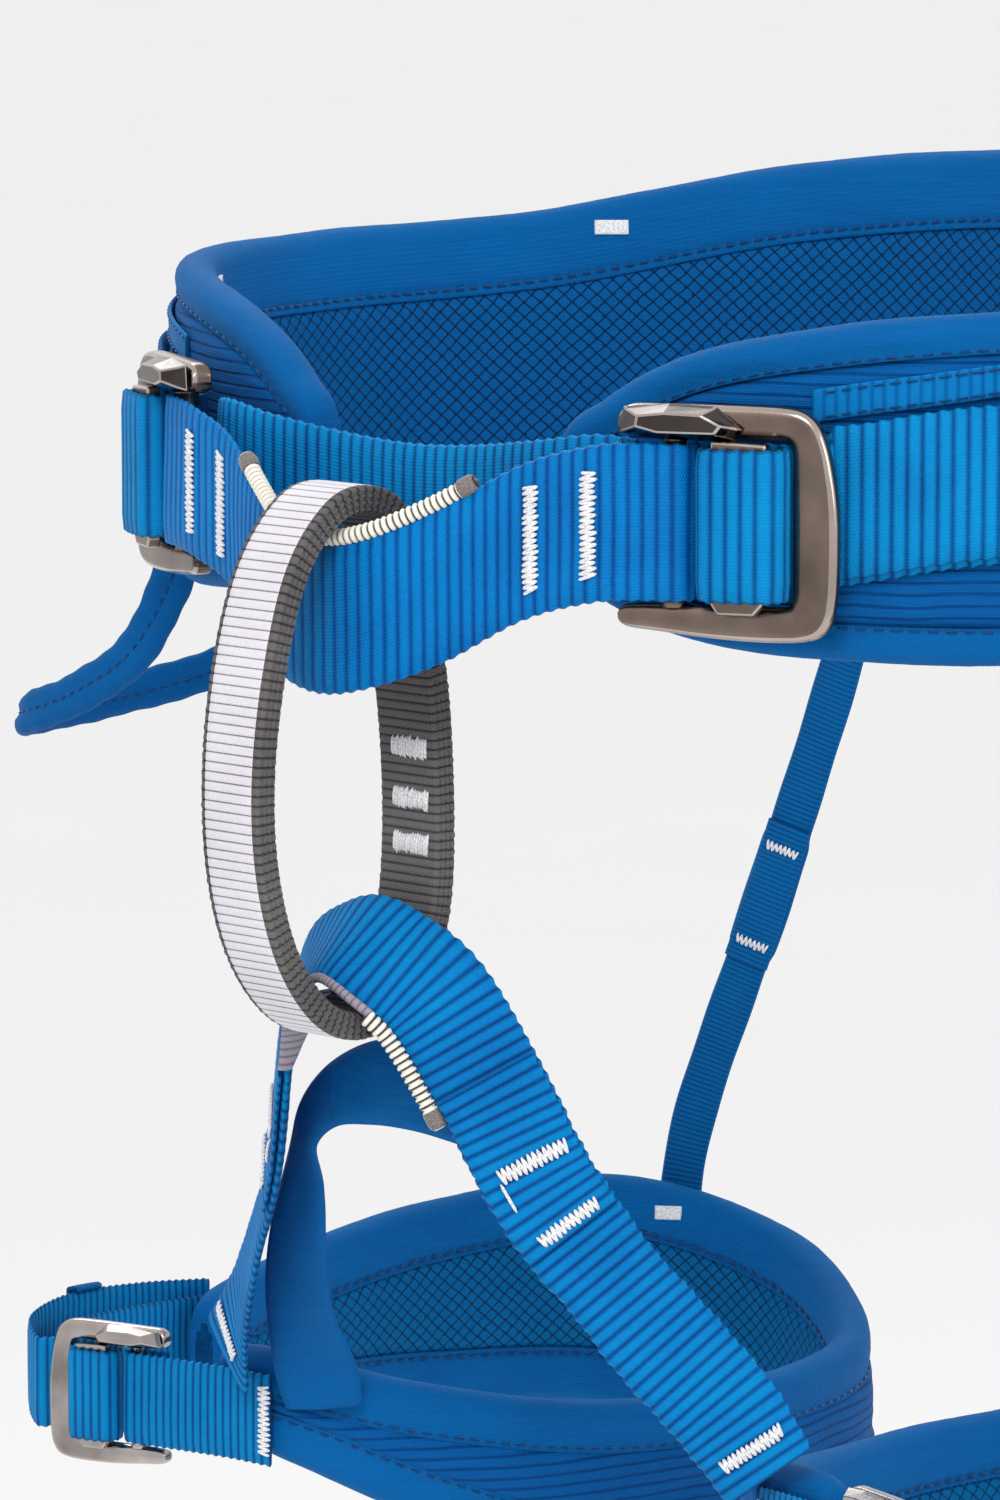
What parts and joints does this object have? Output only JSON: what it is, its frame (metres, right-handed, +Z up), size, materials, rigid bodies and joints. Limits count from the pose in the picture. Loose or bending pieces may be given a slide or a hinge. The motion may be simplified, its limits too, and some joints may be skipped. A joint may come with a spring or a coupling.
{
  "type": "climbing harness",
  "caption": "Sit harness: padded waist belt and leg loops with slide-bar buckles, front tie-in straps, belay loop, leg bridge, gear loops and haul loop.",
  "frame": {"origin": "centre of the waist opening, at the height of the waist webbing", "axes": "+X wearer's left, -Y wearer's front, +Z up along the wearer's spine"},
  "size_m": [0.368, 0.2689, 0.3188],
  "materials": {
    "foam": "matte",
    "shell_fabric": "matte",
    "mesh_lining": "matte",
    "binding": "matte",
    "webbing": "satin",
    "elastic": "matte",
    "piping": "satin",
    "thread": "satin",
    "belay_webbing": "satin",
    "gear_sleeve": "satin",
    "buckle_metal": "polished",
    "leg_buckle_metal": "polished"
  },
  "bodies": {
    "waist_belt": {"waist_foam": "foam", "waist_shell": "shell_fabric", "waist_lining": "mesh_lining", "waist_binding": "binding", "waist_webbing": "webbing", "waist_tags": "thread", "tie_in_front": "webbing", "tie_in_rear": "webbing", "tie_in_piping": "piping", "tie_in_bartacks": "thread", "leg_bridge": "webbing", "leg_bridge_rear": "webbing", "leg_bridge_piping": "piping", "leg_bridge_bartacks": "thread", "left_waist_tail": "webbing", "right_waist_tail": "webbing", "left_tail_keeper": "elastic", "right_tail_keeper": "elastic"},
    "belay_loop": {"belay_loop": "belay_webbing", "belay_bartacks": "thread"},
    "haul_loop": {"haul_loop": "gear_sleeve"},
    "left_leg": {"left_riser": "webbing", "left_riser_backing": "shell_fabric", "left_leg_foam": "foam", "left_leg_shell": "shell_fabric", "left_leg_lining": "mesh_lining", "left_leg_binding": "binding", "left_leg_strap": "webbing", "left_leg_tail": "webbing", "left_leg_keeper": "elastic", "left_leg_bartacks": "thread", "left_rear_elastic": "elastic"},
    "left_gear_loop": {"left_gear_loop": "gear_sleeve"},
    "left_waist_buckle": {"left_waist_buckle_frame": "buckle_metal"},
    "left_waist_slider": {"left_waist_buckle_slider": "buckle_metal", "left_waist_strap_turn": "webbing"},
    "left_leg_buckle": {"left_leg_buckle_frame": "leg_buckle_metal"},
    "left_leg_slider": {"left_leg_buckle_slider": "leg_buckle_metal", "left_leg_strap_turn": "webbing"},
    "right_leg": {"right_riser": "webbing", "right_riser_backing": "shell_fabric", "right_leg_foam": "foam", "right_leg_shell": "shell_fabric", "right_leg_lining": "mesh_lining", "right_leg_binding": "binding", "right_leg_strap": "webbing", "right_leg_tail": "webbing", "right_leg_keeper": "elastic", "right_leg_bartacks": "thread", "right_rear_elastic": "elastic"},
    "right_gear_loop": {"right_gear_loop": "gear_sleeve"},
    "right_waist_buckle": {"right_waist_buckle_frame": "buckle_metal"},
    "right_waist_slider": {"right_waist_buckle_slider": "buckle_metal", "right_waist_strap_turn": "webbing"},
    "right_leg_buckle": {"right_leg_buckle_frame": "leg_buckle_metal"},
    "right_leg_slider": {"right_leg_buckle_slider": "leg_buckle_metal", "right_leg_strap_turn": "webbing"}
  },
  "joints": [
    {"name": "belay_loop_swing", "type": "hinge", "parent": "waist_belt", "child": "belay_loop", "pos_m": [0, -0.122, -0.009], "axis": [1, 0, 0], "range_deg": [-2.5, 2.5]},
    {"name": "haul_loop_lift", "type": "hinge", "parent": "waist_belt", "child": "haul_loop", "pos_m": [0, 0.1153, -0.017], "axis": [1, 0, 0], "range_deg": [0, 70]},
    {"name": "left_leg_swing", "type": "hinge", "parent": "waist_belt", "child": "left_leg", "pos_m": [0, -0.099, -0.139], "axis": [1, 0, 0], "range_deg": [-6, 6], "stiffness_Nm_per_rad": 1.5, "springref_deg": 2.29, "deforming": ["left_rear_elastic"]},
    {"name": "left_gear_loop_lift", "type": "hinge", "parent": "waist_belt", "child": "left_gear_loop", "pos_m": [0.128, 0, -0.02], "axis": [0, -1, 0], "range_deg": [0, 40]},
    {"name": "left_waist_buckle_tilt", "type": "hinge", "parent": "waist_belt", "child": "left_waist_buckle", "pos_m": [0.07011, -0.09482, -0.0045], "axis": [0, 0, -1], "range_deg": [0, 20]},
    {"name": "left_waist_slider_slide", "type": "slide", "parent": "left_waist_buckle", "child": "left_waist_slider", "axis": [0.8988, 0.4384, 0], "range_m": [0, 0.0011]},
    {"name": "left_leg_buckle_tilt", "type": "hinge", "parent": "left_leg", "child": "left_leg_buckle", "pos_m": [0.10777, -0.07606, -0.211], "axis": [0, 0, -1], "range_deg": [0, 20]},
    {"name": "left_leg_slider_slide", "type": "slide", "parent": "left_leg_buckle", "child": "left_leg_slider", "axis": [0.9659, -0.2588, 0], "range_m": [0, 0.0007]},
    {"name": "right_leg_swing", "type": "hinge", "parent": "waist_belt", "child": "right_leg", "pos_m": [0, -0.099, -0.139], "axis": [1, 0, 0], "range_deg": [-6, 6], "stiffness_Nm_per_rad": 1.5, "springref_deg": 2.29, "deforming": ["right_rear_elastic"]},
    {"name": "right_gear_loop_lift", "type": "hinge", "parent": "waist_belt", "child": "right_gear_loop", "pos_m": [-0.128, 0, -0.02], "axis": [0, 1, 0], "range_deg": [0, 40]},
    {"name": "right_waist_buckle_tilt", "type": "hinge", "parent": "waist_belt", "child": "right_waist_buckle", "pos_m": [-0.07011, -0.09482, -0.0045], "axis": [0, 0, 1], "range_deg": [0, 20]},
    {"name": "right_waist_slider_slide", "type": "slide", "parent": "right_waist_buckle", "child": "right_waist_slider", "axis": [-0.8988, 0.4384, 0], "range_m": [0, 0.0011]},
    {"name": "right_leg_buckle_tilt", "type": "hinge", "parent": "right_leg", "child": "right_leg_buckle", "pos_m": [-0.10777, -0.07606, -0.211], "axis": [0, 0, 1], "range_deg": [0, 20]},
    {"name": "right_leg_slider_slide", "type": "slide", "parent": "right_leg_buckle", "child": "right_leg_slider", "axis": [-0.9659, -0.2588, 0], "range_m": [0, 0.0007]}
  ]
}
